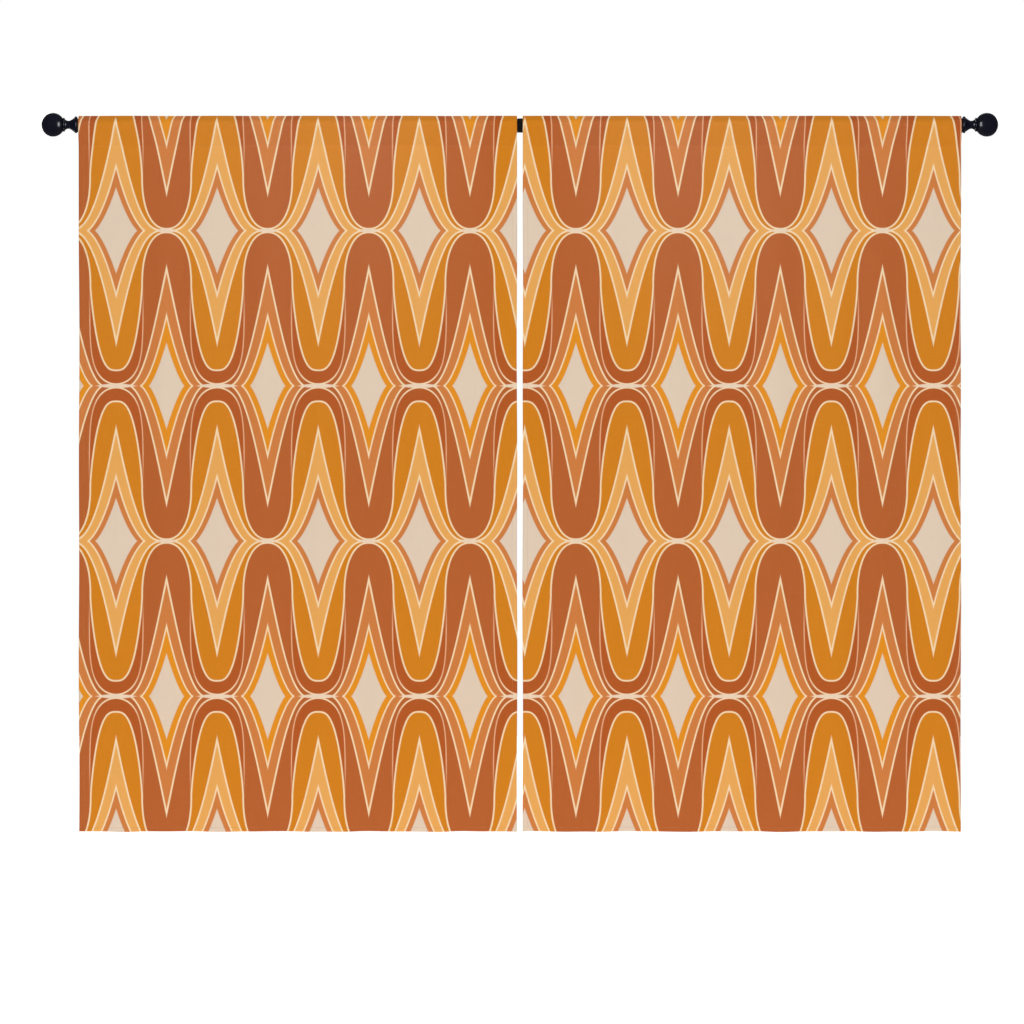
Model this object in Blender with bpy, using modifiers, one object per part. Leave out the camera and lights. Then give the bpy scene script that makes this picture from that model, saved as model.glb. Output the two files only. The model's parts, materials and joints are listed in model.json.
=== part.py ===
"""A pair of rod-pocket window curtains on a telescoping ball-finial rod with three wall brackets.

Metres, +Z up, +X along the rod to the viewer's right, -Y towards the room.
The origin is on the wall, at the centre bracket, level with the rod's axis.
"""
import math

import bmesh
import bpy

COLLECTION = "window_curtains"

# ---------------------------------------------------------------- driving dimensions
PANEL_WIDTH = 1.307          # one panel as it hangs, in shallow ripples
PANEL_HEIGHT = 2.134         # 84 in, top fold to bottom edge
PANEL_GAP = 0.017            # open gap between the two leading edges
CLOTH = 0.001                # one layer of cloth
POCKET_DEPTH = 0.089         # 3 1/2 in rod pocket, top fold to stitch line
TOP_RISE = 0.0075            # top fold above the rod's top
SIDE_HEM_WIDTH = 0.016       # 5/8 in side hems
BOTTOM_HEM_DEPTH = 0.014     # narrow bottom hem
HEM_THICKNESS = 0.0014       # the turned-in layers of a hem, pressed flat

OUTER_TUBE_DIAMETER = 0.0381  # 1 1/2 in
TUBE_WALL = 0.001
TUBE_CLEARANCE = 0.0003       # radial, inner tube in outer tube
TUBE_OVERLAP = 0.42           # length of inner tube inside the outer one
TUBE_STEP_X = -0.0055         # where the outer tube ends, in the gap between the panels

PROJECTION = 0.089            # wall to rod axis, 3 1/2 in
PLATE_LENGTH = 0.080          # along the rod, so that the plates stay hidden behind rod and cloth
PLATE_HEIGHT = 0.030
PLATE_THICKNESS = 0.003
END_ARM_THICKNESS = 0.002     # flat hook plate at each end of the rod
END_ARM_HEIGHT = 0.018
HOOK_RIM = 0.0045             # metal around the seat of an end hook
HOOK_LIP_RISE = 0.003         # front lip above the rod axis
HOOK_BACK_RISE = 0.010        # back of the seat above the rod axis
CENTRE_STRIP_WIDTH = 0.008
CENTRE_STRIP_THICKNESS = 0.003
SEAT_CLEARANCE = 0.00035      # radial, rod in its seats

SCREW_DIAMETER = 0.004
SCREW_LENGTH = 0.035
SCREW_HEAD_DIAMETER = 0.0078
SCREW_HEAD_HEIGHT = 0.0026
SCREW_SPACING = 0.058
SCREW_HOLE_CLEARANCE = 0.00035

STUD_DIAMETER = 0.008
STUD_LENGTH = 0.036
STUD_CLEARANCE = 0.0003
PLUG_LENGTH = 0.022
PLUG_FLANGE = 0.0016

BALL_DIAMETER = 0.0704
FINIAL_LENGTH = 0.1088        # tube end to tip
COLLAR_OVERHANG = 0.00585     # the collar stands this far outside the outer tube
COLLAR_ALONG = 0.0048         # tube end to the collar's widest line
NECK_DIAMETER = 0.0238
NECK_ALONG = 0.0255
BEAD_DIAMETER = 0.0418
BEAD_WIDTH = 0.005
BEAD_COVE_POWER = 2.2         # how hollow the neck is on the bead's side
COLLAR_COVE_POWER = 1.35      # and on the collar's side

GAP = 0.0003                  # between pieces that touch
EDGE_GAP = 0.0005             # between a panel's edge and an end hook

# ---------------------------------------------------------------- worked-out places
ROD_RADIUS = OUTER_TUBE_DIAMETER / 2
INNER_RADIUS = ROD_RADIUS - TUBE_WALL - TUBE_CLEARANCE
INNER_EDGE_X = PANEL_GAP / 2
OUTER_EDGE_X = INNER_EDGE_X + PANEL_WIDTH
HOOK_X = OUTER_EDGE_X + EDGE_GAP + END_ARM_THICKNESS / 2
TUBE_END_X = HOOK_X + END_ARM_THICKNESS / 2 + EDGE_GAP
END_PLATE_X = HOOK_X + END_ARM_THICKNESS / 2 - PLATE_LENGTH / 2
ROD_Y = -PROJECTION
TOP_Z = ROD_RADIUS + TOP_RISE
BOTTOM_Z = TOP_Z - PANEL_HEIGHT
STITCH_Z = TOP_Z - POCKET_DEPTH
SIDES = {"left": -1, "right": 1}
ROUND_SEGMENTS = 36
SCREW_SEGMENTS = 12


# ---------------------------------------------------------------- helpers
def reset_scene():
    """Remove every object, and make the two collections."""
    for obj in list(bpy.data.objects):
        bpy.data.objects.remove(obj, do_unlink=True)
    made = []
    for name in (COLLECTION, "cutters"):
        collection = bpy.data.collections.new(name)
        bpy.context.scene.collection.children.link(collection)
        made.append(collection)
    return made


def material(name, colour, roughness, metallic=0.0):
    """A Principled material."""
    mat = bpy.data.materials.new(name)
    mat.use_nodes = True
    shader = mat.node_tree.nodes["Principled BSDF"]
    shader.inputs["Base Color"].default_value = (*colour, 1.0)
    shader.inputs["Roughness"].default_value = roughness
    shader.inputs["Metallic"].default_value = metallic
    mat.diffuse_color = (*colour, 1.0)
    return mat


def move_to(obj, collection):
    """Keep an object in one collection only."""
    for old in list(obj.users_collection):
        old.objects.unlink(obj)
    collection.objects.link(obj)


def add_piece(name, mesh, mat, location, rotation):
    """A named object of the part, with its own material."""
    obj = bpy.data.objects.new(name, mesh)
    obj.location = location
    obj.rotation_euler = rotation
    obj.data.materials.append(mat)
    parts.objects.link(obj)
    return obj


def turned(name, profile, mat, location, rotation, segments=ROUND_SEGMENTS):
    """A turned piece. profile: (distance along its axis, radius) from one end of the axis to the other."""
    mesh = bpy.data.meshes.new(name)
    bm = bmesh.new()
    verts = [bm.verts.new((radius, 0, along)) for along, radius in profile]
    for a, b in zip(verts, verts[1:]):
        bm.edges.new((a, b))
    bm.to_mesh(mesh)
    bm.free()
    obj = add_piece(name, mesh, mat, location, rotation)
    screw = obj.modifiers.new("turn", "SCREW")
    screw.axis = "Z"
    screw.steps = segments
    screw.render_steps = segments
    screw.use_merge_vertices = True
    screw.merge_threshold = 0.00001
    screw.use_smooth_shade = True
    return obj


def outwards(side):
    """The rotation that lays a turned piece's axis along the rod, towards one end."""
    return (0, side * math.pi / 2, 0)


def ring_profile(start, end, inner, outer):
    """Closed outline of a tube or ring, for turned()."""
    return [(end, inner), (end, outer), (start, outer), (start, inner), (end, inner)]


def extruded(name, outline, width, mat, location):
    """A flat outline in the YZ plane, extruded along X to the given width about its own plane."""
    curve = bpy.data.curves.new(name, "CURVE")
    curve.dimensions = "2D"
    curve.fill_mode = "BOTH"
    curve.extrude = width / 2
    spline = curve.splines.new("POLY")
    spline.points.add(len(outline) - 1)
    for point, (y, z) in zip(spline.points, outline):
        point.co = (y, z, 0, 1)
    spline.use_cyclic_u = True
    source = bpy.data.objects.new(name + "_outline", curve)
    cutters.objects.link(source)
    bpy.context.view_layer.update()
    mesh = bpy.data.meshes.new_from_object(source.evaluated_get(bpy.context.evaluated_depsgraph_get()))
    bpy.data.objects.remove(source, do_unlink=True)
    bm = bmesh.new()
    bm.from_mesh(mesh)
    bmesh.ops.remove_doubles(bm, verts=bm.verts, dist=0.00001)
    bm.to_mesh(mesh)
    bm.free()
    mesh.shade_smooth()
    mesh.set_sharp_from_angle(angle=math.radians(35))
    return add_piece(name, mesh, mat, location, (math.pi / 2, 0, math.pi / 2))


def cylinder_cutter(name, radius, depth, location, rotation):
    """A guide that a Boolean takes away."""
    bpy.ops.mesh.primitive_cylinder_add(vertices=24, radius=radius, depth=depth, location=location,
                                        rotation=rotation)
    cutter = bpy.context.active_object
    cutter.name = name
    cutter.display_type = "WIRE"
    cutter.hide_render = True
    move_to(cutter, cutters)
    return cutter


def cut(obj, cutter):
    """Take the cutter away from the object."""
    boolean = obj.modifiers.new(cutter.name, "BOOLEAN")
    boolean.operation = "DIFFERENCE"
    boolean.solver = "EXACT"
    boolean.object = cutter


def arc(centre, radius, start_deg, end_deg, steps):
    """Points along an arc in the YZ plane; 0 degrees is +Y, 90 is +Z."""
    points = []
    for i in range(steps + 1):
        angle = math.radians(start_deg + (end_deg - start_deg) * i / steps)
        points.append((centre[0] + radius * math.cos(angle), centre[1] + radius * math.sin(angle)))
    return points


def box(name, size, centre, mat):
    """A box from the cube primitive, with its size in its mesh."""
    bpy.ops.mesh.primitive_cube_add(size=1, location=(0, 0, 0))
    obj = bpy.context.active_object
    obj.name = name
    obj.data.name = name
    obj.data.transform([[size[0], 0, 0, 0], [0, size[1], 0, 0], [0, 0, size[2], 0], [0, 0, 0, 1]])
    obj.location = centre
    obj.data.materials.append(mat)
    move_to(obj, parts)
    return obj


# ---------------------------------------------------------------- the rod
def make_tubes():
    """The outer tube on the right, and the inner tube that telescopes out of it on the left."""
    turned("rod_outer_tube",
           ring_profile(TUBE_STEP_X, TUBE_END_X - GAP, ROD_RADIUS - TUBE_WALL, ROD_RADIUS),
           black_metal, (0, ROD_Y, 0), outwards(1))
    turned("rod_inner_tube",
           ring_profile(-(TUBE_STEP_X + TUBE_OVERLAP), TUBE_END_X - GAP, INNER_RADIUS - TUBE_WALL,
                        INNER_RADIUS),
           black_metal, (0, ROD_Y, 0), outwards(-1))


def make_end_plug(side_name, side, tube_radius):
    """The plastic plug pressed into a tube's end, with a threaded hole for the finial's stud."""
    outer = tube_radius - TUBE_WALL - GAP
    end = TUBE_END_X - 2 * GAP
    start = end - PLUG_LENGTH
    hole = STUD_DIAMETER / 2 + STUD_CLEARANCE
    chamfer = PLUG_FLANGE
    profile = [(end, hole), (end, outer), (start + chamfer, outer), (start, outer - chamfer),
               (start, hole), (end, hole)]
    turned(f"{side_name}_end_plug", profile, plug_plastic, (0, ROD_Y, 0), outwards(side))


def make_stud(side_name, side):
    """The threaded stud that joins a finial to its end plug."""
    radius = STUD_DIAMETER / 2
    chamfer = radius / 4
    start = TUBE_END_X - STUD_LENGTH / 2
    end = TUBE_END_X + STUD_LENGTH / 2
    profile = [(end, 0), (end, radius - chamfer), (end - chamfer, radius), (start + chamfer, radius),
               (start, radius - chamfer), (start, 0)]
    turned(f"{side_name}_finial_stud", profile, zinc, (0, ROD_Y, 0), outwards(side), SCREW_SEGMENTS)


def cove(start, end, power, steps):
    """Points of a hollow curve that falls from one (along, radius) point and flattens into the second."""
    points = []
    for i in range(1, steps):
        share = i / steps
        along = start[0] + (end[0] - start[0]) * share
        points.append((along, end[1] + (start[1] - end[1]) * (1 - share) ** power))
    return points


def foot(base_radius, collar_radius, steps):
    """Points of the rounded foot that swells from the tube's rim to the collar."""
    points = []
    for i in range(steps + 1):
        angle = math.pi / 2 * i / steps
        along = COLLAR_ALONG * (1 - math.cos(angle))
        points.append((along, base_radius + (collar_radius - base_radius) * math.sin(angle)))
    return points


def finial_base_profile(seat_along, seat_radius):
    """Outline of the base: the ball's seat, the bead, the cove neck, the flared collar and the stud's hole."""
    collar = ROD_RADIUS + COLLAR_OVERHANG
    neck = NECK_DIAMETER / 2
    bead = BEAD_DIAMETER / 2
    hole = STUD_DIAMETER / 2 + STUD_CLEARANCE
    hole_depth = STUD_LENGTH / 2 + 0.001
    bead_front = seat_along - GAP
    bead_back = bead_front - BEAD_WIDTH
    edge = BEAD_WIDTH / 4
    flare = (bead_back - edge / 2, bead - edge * 2.5)
    shoulder = (COLLAR_ALONG + edge * 3, collar - edge)
    waist = (NECK_ALONG + edge * 2, neck)
    outline = [(bead_front - edge, 0), (bead_front - edge, seat_radius - 2 * edge), (bead_front, seat_radius)]
    outline += [(bead_front - edge, bead), (bead_back + edge, bead), (bead_back, bead - edge), flare]
    outline += cove(flare, waist, BEAD_COVE_POWER, 5)
    outline += [waist, (NECK_ALONG, neck)]
    outline += reversed(cove(shoulder, (NECK_ALONG, neck), COLLAR_COVE_POWER, 7))
    outline += [shoulder, (COLLAR_ALONG + edge * 2, collar)]
    outline += reversed(foot(INNER_RADIUS, collar, 4))
    outline += [(0, hole), (hole_depth, hole), (hole_depth + hole / 2, 0)]
    return outline


def make_finial(side_name, side):
    """The turned base with its flared collar, cove neck and bead, and the ball seated in the bead."""
    ball_radius = BALL_DIAMETER / 2
    ball_centre = FINIAL_LENGTH - ball_radius
    seat_radius = BEAD_DIAMETER / 2 - BEAD_WIDTH / 3
    seat_angle = math.asin(seat_radius / ball_radius)
    seat_along = ball_centre - ball_radius * math.cos(seat_angle)
    place = (side * TUBE_END_X, ROD_Y, 0)
    turned(f"{side_name}_finial_base", finial_base_profile(seat_along, seat_radius), black_gloss, place,
           outwards(side))

    steps = 18
    ball = [(FINIAL_LENGTH, 0)]
    for i in range(1, steps + 1):
        angle = (math.pi - seat_angle) * i / steps
        ball.append((ball_centre + ball_radius * math.cos(angle), ball_radius * math.sin(angle)))
    ball.append((seat_along, 0))
    turned(f"{side_name}_finial_ball", ball, black_gloss, place, outwards(side))


# ---------------------------------------------------------------- the brackets
def make_wall_plate(name, x):
    """A plate screwed flat to the wall, with its two screw holes."""
    plate = box(f"{name}_wall_plate", (PLATE_LENGTH, PLATE_THICKNESS, PLATE_HEIGHT),
                (x, -PLATE_THICKNESS / 2, 0), black_metal)
    hole_radius = SCREW_DIAMETER / 2 + SCREW_HOLE_CLEARANCE
    for label, screw_x in screw_places(name, x):
        cutter = cylinder_cutter(f"{name}_{label}_screw_hole", hole_radius, 4 * PLATE_THICKNESS,
                                 (screw_x, -PLATE_THICKNESS / 2, 0), (math.pi / 2, 0, 0))
        cut(plate, cutter)


def screw_places(name, x):
    """The two screws of a wall plate, side by side, from left to right."""
    labels = {"left": ("outer", "inner"), "centre": ("left", "right"), "right": ("inner", "outer")}[name]
    return zip(labels, (x - SCREW_SPACING / 2, x + SCREW_SPACING / 2))


def make_screws(name, x):
    """Two pan-head screws that hold a wall plate."""
    head = SCREW_HEAD_DIAMETER / 2
    shank = SCREW_DIAMETER / 2
    tip = SCREW_LENGTH - 2 * SCREW_DIAMETER
    profile = [(SCREW_HEAD_HEIGHT, 0), (SCREW_HEAD_HEIGHT, head * 0.5), (SCREW_HEAD_HEIGHT * 0.6, head)]
    profile += [(0, head), (0, shank), (-tip, shank), (-SCREW_LENGTH, 0)]
    for label, screw_x in screw_places(name, x):
        turned(f"{name}_{label}_screw", profile, black_metal, (screw_x, -PLATE_THICKNESS - GAP, 0),
               (math.pi / 2, 0, 0), SCREW_SEGMENTS)


def make_end_arm(side_name, side, tube_radius):
    """The flat hook plate at one end: an arm from the wall plate with an open-topped seat for the rod."""
    seat = tube_radius + SEAT_CLEARANCE
    rim = seat + HOOK_RIM
    half = END_ARM_HEIGHT / 2
    wall_y = -PLATE_THICKNESS - GAP
    join = math.degrees(math.asin(half / rim))
    outline = [(wall_y, half), (wall_y, -half)]
    outline += arc((ROD_Y, 0), rim, -join, -180, 14)
    outline += [(ROD_Y - rim, HOOK_LIP_RISE), (ROD_Y - seat, HOOK_LIP_RISE)]
    outline += arc((ROD_Y, 0), seat, 180, 360, 18)
    outline += [(ROD_Y + seat, HOOK_BACK_RISE), (ROD_Y + rim, HOOK_BACK_RISE)]
    extruded(f"{side_name}_bracket_arm", outline, END_ARM_THICKNESS, black_metal,
             (side * HOOK_X, 0, 0))


def make_centre_arm():
    """The middle support: one steel strip that leaves the wall plate and wraps under the rod."""
    seat = ROD_RADIUS + SEAT_CLEARANCE
    rim = seat + CENTRE_STRIP_THICKNESS
    half = CENTRE_STRIP_THICKNESS / 2
    wall_y = -PLATE_THICKNESS - GAP
    join = math.degrees(math.asin(half / rim))
    outline = [(wall_y, half), (wall_y, -half)]
    outline += arc((ROD_Y, 0), rim, -join, -180, 16)
    outline += [(ROD_Y - rim, HOOK_LIP_RISE), (ROD_Y - seat, HOOK_LIP_RISE)]
    outline += arc((ROD_Y, 0), seat, 180, 360, 20)
    outline += [(ROD_Y + seat, half)]
    extruded("centre_bracket_arm", outline, CENTRE_STRIP_WIDTH, black_metal, (0, 0, 0))


# ---------------------------------------------------------------- the panels
def teardrop(side, offset):
    """Where one side of the rod pocket lies round the rod, between the top fold and the stitch line.

    side: -1 towards the room, 1 towards the wall. offset: distance outwards from the inner face.
    """
    seat = ROD_RADIUS + SEAT_CLEARANCE + offset
    rise = TOP_Z - CLOTH + offset
    leave = math.degrees(math.acos(seat / rise))
    reach = math.degrees(math.acos(seat / -STITCH_Z))
    return [(side * y, z) for y, z in arc((0, 0), seat, 90 - leave, reach - 90, 10)]


def make_pocket_layers(side_name, centre_x):
    """The front cloth, which hangs in the rod's own plane, and the pocket's back layer sewn to it."""
    half = CLOTH / 2
    lap = half + GAP
    front = [(0.0, TOP_Z)] + teardrop(-1, CLOTH)
    front += [(-half, STITCH_Z), (-half, BOTTOM_Z), (half, BOTTOM_Z), (half, STITCH_Z)]
    front += list(reversed(teardrop(-1, 0))) + [(0.0, TOP_Z - CLOTH)]
    extruded(f"{side_name}_panel_cloth", front, PANEL_WIDTH, cloth_face, (centre_x, ROD_Y, 0))

    back = [(GAP, TOP_Z)] + teardrop(1, CLOTH)
    back += [(lap + CLOTH, STITCH_Z), (lap + CLOTH, STITCH_Z - CLOTH), (lap, STITCH_Z - CLOTH), (lap, STITCH_Z)]
    back += list(reversed(teardrop(1, 0))) + [(GAP, TOP_Z - CLOTH)]
    extruded(f"{side_name}_pocket_back", back, PANEL_WIDTH, cloth_back, (centre_x, ROD_Y, 0))


def make_hems(side_name, side, centre_x):
    """The two side hems and the bottom hem, turned to the back of the panel."""
    hem_y = ROD_Y + CLOTH / 2 + GAP + HEM_THICKNESS / 2
    top = STITCH_Z - CLOTH - GAP
    bottom = BOTTOM_Z + BOTTOM_HEM_DEPTH + GAP
    inset = SIDE_HEM_WIDTH / 2
    for label, x in (("leading", INNER_EDGE_X + inset), ("outer", OUTER_EDGE_X - inset)):
        box(f"{side_name}_{label}_hem", (SIDE_HEM_WIDTH, HEM_THICKNESS, top - bottom),
            (side * x, hem_y, (top + bottom) / 2), cloth_back)
    box(f"{side_name}_bottom_hem", (PANEL_WIDTH, HEM_THICKNESS, BOTTOM_HEM_DEPTH),
        (centre_x, hem_y, BOTTOM_Z + BOTTOM_HEM_DEPTH / 2), cloth_back)


def make_panel(side_name, side):
    """One curtain as it hangs: its two pocket layers and its three hems."""
    centre_x = side * (INNER_EDGE_X + OUTER_EDGE_X) / 2
    make_pocket_layers(side_name, centre_x)
    make_hems(side_name, side, centre_x)


# ---------------------------------------------------------------- the whole object
parts, cutters = reset_scene()
black_metal = material("black_metal", (0.012, 0.012, 0.014), 0.32, 0.6)
black_gloss = material("black_gloss", (0.010, 0.011, 0.014), 0.12)
plug_plastic = material("plug_plastic", (0.03, 0.03, 0.03), 0.5)
zinc = material("zinc", (0.55, 0.55, 0.53), 0.35, 1.0)
cloth_face = material("cloth_face", (0.60, 0.26, 0.08), 0.9)
cloth_back = material("cloth_back", (0.62, 0.38, 0.20), 0.9)

make_tubes()
TUBE_RADII = {"left": INNER_RADIUS, "right": ROD_RADIUS}
for side_name, side in SIDES.items():
    make_end_plug(side_name, side, TUBE_RADII[side_name])
    make_stud(side_name, side)
    make_finial(side_name, side)
    make_end_arm(side_name, side, TUBE_RADII[side_name])
    make_panel(side_name, side)
make_centre_arm()
for bracket_name, plate_x in (("left", -END_PLATE_X), ("centre", 0.0), ("right", END_PLATE_X)):
    make_wall_plate(bracket_name, plate_x)
    make_screws(bracket_name, plate_x)
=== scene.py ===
"""A pair of printed rod-pocket curtains on a telescoping ball-finial rod.

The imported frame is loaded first. Each sub-assembly is a class that reads its places from the frame's
boxes, builds its pieces there, and dresses them. Metres, +Z up, +X along the rod, -Y towards the room.
"""
from __future__ import annotations

import json
import logging
import math
from collections.abc import Callable, Sequence
from dataclasses import dataclass, field
from enum import Enum

import bmesh
import bpy
from mathutils import Matrix, Vector


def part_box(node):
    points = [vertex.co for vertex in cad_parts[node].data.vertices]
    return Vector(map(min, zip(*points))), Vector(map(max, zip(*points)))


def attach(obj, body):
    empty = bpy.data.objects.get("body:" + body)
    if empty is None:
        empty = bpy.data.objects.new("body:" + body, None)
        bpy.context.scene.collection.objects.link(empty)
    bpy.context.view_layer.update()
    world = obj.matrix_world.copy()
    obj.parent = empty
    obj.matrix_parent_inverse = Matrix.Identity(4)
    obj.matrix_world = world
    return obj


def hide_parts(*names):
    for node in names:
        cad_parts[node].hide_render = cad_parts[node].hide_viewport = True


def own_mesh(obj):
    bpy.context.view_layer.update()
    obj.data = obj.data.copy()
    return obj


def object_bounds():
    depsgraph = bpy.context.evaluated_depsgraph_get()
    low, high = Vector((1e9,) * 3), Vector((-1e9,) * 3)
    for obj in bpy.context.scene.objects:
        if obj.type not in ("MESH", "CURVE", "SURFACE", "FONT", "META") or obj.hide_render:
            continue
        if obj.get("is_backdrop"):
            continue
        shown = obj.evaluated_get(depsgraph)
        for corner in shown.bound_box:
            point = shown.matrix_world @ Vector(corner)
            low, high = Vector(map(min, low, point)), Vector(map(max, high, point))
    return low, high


log = logging.getLogger("curtains")

Colour = tuple[float, float, float, float]
Profile = Sequence[tuple[float, float]]


# ---------------------------------------------------------------- named options
class Side(Enum):
    """One end of the rod, with its sign along X."""

    LEFT = -1
    RIGHT = 1

    @property
    def label(self) -> str:
        """The side's name as the frame's nodes write it."""
        return self.name.lower()


class Dye(Enum):
    """The dyes of the printed cloth, as 8-bit screen colours."""

    CREAM = (229, 208, 185)
    HONEY = (236, 171, 91)
    MARIGOLD = (231, 146, 33)
    ORANGE = (214, 131, 28)
    TERRACOTTA = (211, 128, 66)
    SALMON = (236, 178, 136)
    RUST = (186, 99, 48)
    DEEP_RUST = (182, 90, 37)
    OUTLINE = (250, 222, 180)
    PALE_SAND = (240, 215, 188)

    @property
    def linear(self) -> Colour:
        """The dye as a linear colour with full alpha."""
        return linear(self.value)


# ---------------------------------------------------------------- small maths
def linear(screen: tuple[int, int, int]) -> Colour:
    """Turn an 8-bit screen colour into a linear one.

    Args:
        screen: Red, green and blue from 0 to 255.

    Returns:
        The linear colour with full alpha.
    """
    shares = [level / 255 for level in screen]
    made = [s / 12.92 if s <= 0.04045 else ((s + 0.055) / 1.055) ** 2.4 for s in shares]
    return (made[0], made[1], made[2], 1.0)


def smooth_step(share: float) -> float:
    """Ease a share from 0 to 1, held at both ends."""
    held = min(max(share, 0.0), 1.0)
    return held * held * (3 - 2 * held)


def stations(start: float, end: float, spacing: float, extra: Sequence[float] = ()) -> list[float]:
    """Places of the grid lines between two ends, with extra ones where a seam needs them.

    Args:
        start: The first place.
        end: The last place, above the first.
        spacing: The usual distance between lines.
        extra: Places that get a line of their own.

    Returns:
        The places in rising order, none closer together than a fifth of a millimetre.
    """
    count = max(1, math.ceil((end - start) / spacing))
    regular = [start + (end - start) * i / count for i in range(count + 1)]
    wanted = [place for place in extra if start < place < end]
    room = spacing * 0.45
    kept = [p for p in regular
            if p in (start, end) or all(abs(p - w) > min(room, spacing / 3) for w in wanted)]
    places: list[float] = []
    for place in sorted(kept + wanted):
        if not places or place - places[-1] > 0.0002:
            places.append(place)
    return places


# ---------------------------------------------------------------- node helpers
class Field:
    """A number that varies over a surface, held as the output of a node."""

    def __init__(self, tree: bpy.types.NodeTree, socket: bpy.types.NodeSocket) -> None:
        """Hold a node's output.

        Args:
            tree: The node tree that the field belongs to.
            socket: The output that gives the number.
        """
        self.tree = tree
        self.socket = socket

    def maths(self, operation: str, *others: Field | float) -> Field:
        """A Math node with this field as its first value.

        Args:
            operation: The Math node's operation.
            others: The node's second and third value.

        Returns:
            The node's result.
        """
        return calculated(self.tree, operation, (self, *others))

    def __add__(self, other: Field | float) -> Field:
        """The sum."""
        return self.maths("ADD", other)

    def __sub__(self, other: Field | float) -> Field:
        """The difference."""
        return self.maths("SUBTRACT", other)

    def __rsub__(self, other: float) -> Field:
        """The difference from a plain number."""
        return calculated(self.tree, "SUBTRACT", (other, self))

    def __mul__(self, other: Field | float) -> Field:
        """The product."""
        return self.maths("MULTIPLY", other)

    def __truediv__(self, other: Field | float) -> Field:
        """The quotient."""
        return self.maths("DIVIDE", other)

    def __pow__(self, other: Field | float) -> Field:
        """The power."""
        return self.maths("POWER", other)

    def ramp(self, start: float, end: float) -> Field:
        """Rise in a straight line from 0 at start to 1 at end, held at both."""
        node = self.tree.nodes.new("ShaderNodeMapRange")
        self.tree.links.new(self.socket, node.inputs["Value"])
        node.inputs["From Min"].default_value = start
        node.inputs["From Max"].default_value = end
        return Field(self.tree, node.outputs["Result"])


def calculated(tree: bpy.types.NodeTree, operation: str, values: Sequence[Field | float]) -> Field:
    """A Math node.

    Args:
        tree: The node tree.
        operation: The node's operation.
        values: Its values, fields or plain numbers.

    Returns:
        The node's result.
    """
    node = tree.nodes.new("ShaderNodeMath")
    node.operation = operation
    for slot, value in enumerate(values):
        if isinstance(value, Field):
            tree.links.new(value.socket, node.inputs[slot])
        else:
            node.inputs[slot].default_value = value
    return Field(tree, node.outputs[0])


class Shade:
    """One Principled material under construction."""

    def __init__(self, name: str, roughness: float, metallic: float = 0.0) -> None:
        """Start a material.

        Args:
            name: The material's name.
            roughness: Its even roughness.
            metallic: 1 for bare metal.
        """
        self.material = bpy.data.materials.new(name)
        self.material.use_nodes = True
        self.tree = self.material.node_tree
        self.shader = self.tree.nodes["Principled BSDF"]
        self.set("Roughness", roughness)
        self.set("Metallic", metallic)

    def set(self, socket: str, value: float | Colour) -> None:
        """Set one of the shader's own sockets."""
        self.shader.inputs[socket].default_value = value

    def place(self, output: str = "Object") -> bpy.types.NodeSocket:
        """The place on the surface: Object coordinates, or UV on cloth."""
        return self.tree.nodes.new("ShaderNodeTexCoord").outputs[output]

    def stretched(self, scale: tuple[float, float, float], output: str = "Object") -> bpy.types.NodeSocket:
        """The place on the surface, scaled along each axis."""
        node = self.tree.nodes.new("ShaderNodeMapping")
        node.inputs["Scale"].default_value = scale
        self.tree.links.new(self.place(output), node.inputs["Vector"])
        return node.outputs["Vector"]

    def noise(self, vector: bpy.types.NodeSocket, scale: float, detail: float = 3.0) -> Field:
        """A Noise texture over a place."""
        node = self.tree.nodes.new("ShaderNodeTexNoise")
        node.inputs["Scale"].default_value = scale
        node.inputs["Detail"].default_value = detail
        self.tree.links.new(vector, node.inputs["Vector"])
        return Field(self.tree, node.outputs["Fac"])

    def axes(self, vector: bpy.types.NodeSocket) -> tuple[Field, Field, Field]:
        """The three numbers of a place."""
        node = self.tree.nodes.new("ShaderNodeSeparateXYZ")
        self.tree.links.new(vector, node.inputs[0])
        return tuple(Field(self.tree, output) for output in node.outputs)

    def painted(self, under: bpy.types.NodeSocket | Colour, over: bpy.types.NodeSocket | Colour,
                share: Field | float) -> bpy.types.NodeSocket:
        """Lay one colour over another.

        Args:
            under: The colour beneath.
            over: The colour on top.
            share: How much of the top colour shows, from 0 to 1.

        Returns:
            The mixed colour.
        """
        node = self.tree.nodes.new("ShaderNodeMix")
        node.data_type = "RGBA"
        colour_inputs = [s for s in node.inputs if s.type == "RGBA"]
        if isinstance(share, Field):
            self.tree.links.new(share.socket, node.inputs[0])
        else:
            node.inputs[0].default_value = share
        for socket, colour in zip(colour_inputs, (under, over)):
            if isinstance(colour, bpy.types.NodeSocket):
                self.tree.links.new(colour, socket)
            else:
                socket.default_value = colour
        return next(s for s in node.outputs if s.type == "RGBA")

    def colour(self, socket: bpy.types.NodeSocket) -> None:
        """Give the shader its colour."""
        self.tree.links.new(socket, self.shader.inputs["Base Color"])

    def rough(self, value: Field) -> None:
        """Give the shader a roughness that varies."""
        self.tree.links.new(value.socket, self.shader.inputs["Roughness"])

    def bump(self, height: Field, strength: float, distance: float) -> None:
        """Raise the surface's fine grain.

        Args:
            height: The grain from 0 to 1.
            strength: The Bump node's strength.
            distance: What a height of 1 stands for, in metres.
        """
        node = self.tree.nodes.new("ShaderNodeBump")
        node.inputs["Strength"].default_value = strength
        node.inputs["Distance"].default_value = distance
        self.tree.links.new(height.socket, node.inputs["Height"])
        self.tree.links.new(node.outputs["Normal"], self.shader.inputs["Normal"])


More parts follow.
